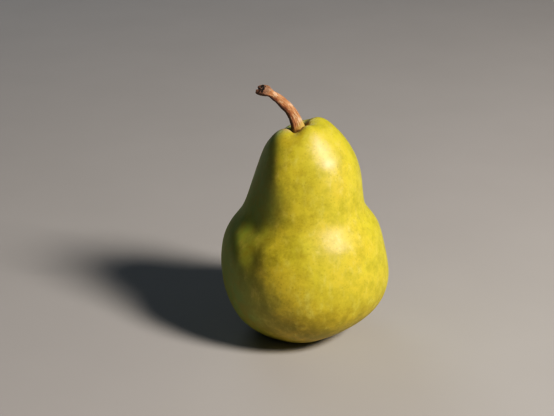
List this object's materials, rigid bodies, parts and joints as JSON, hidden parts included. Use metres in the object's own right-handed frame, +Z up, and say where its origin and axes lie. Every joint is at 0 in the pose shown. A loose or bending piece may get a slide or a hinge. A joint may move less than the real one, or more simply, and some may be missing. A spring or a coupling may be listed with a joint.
{
  "type": "pear",
  "caption": "Ripe pear with a round belly, blunt neck, lobed crown, bent woody stem and dry calyx, standing on a small flat ring.",
  "frame": {"origin": "on the resting surface, under the middle of the whole pear's box", "axes": "+Z up along the fruit, +X to the right as seen from the front, +Y to the back; the stem bends towards -X"},
  "size_m": [0.07, 0.0698, 0.109],
  "materials": {
    "skin": "waxy yellow-green fruit skin with a soft gloss and fine pores",
    "stem_wood": "dry orange-brown woody stalk, matt, torn at the tip",
    "dry_calyx": "dry dark brown sepals and stamens, matt"
  },
  "bodies": {
    "root": {"fruit": "skin", "stem": "stem_wood", "calyx": "dry_calyx"}
  },
  "joints": []
}
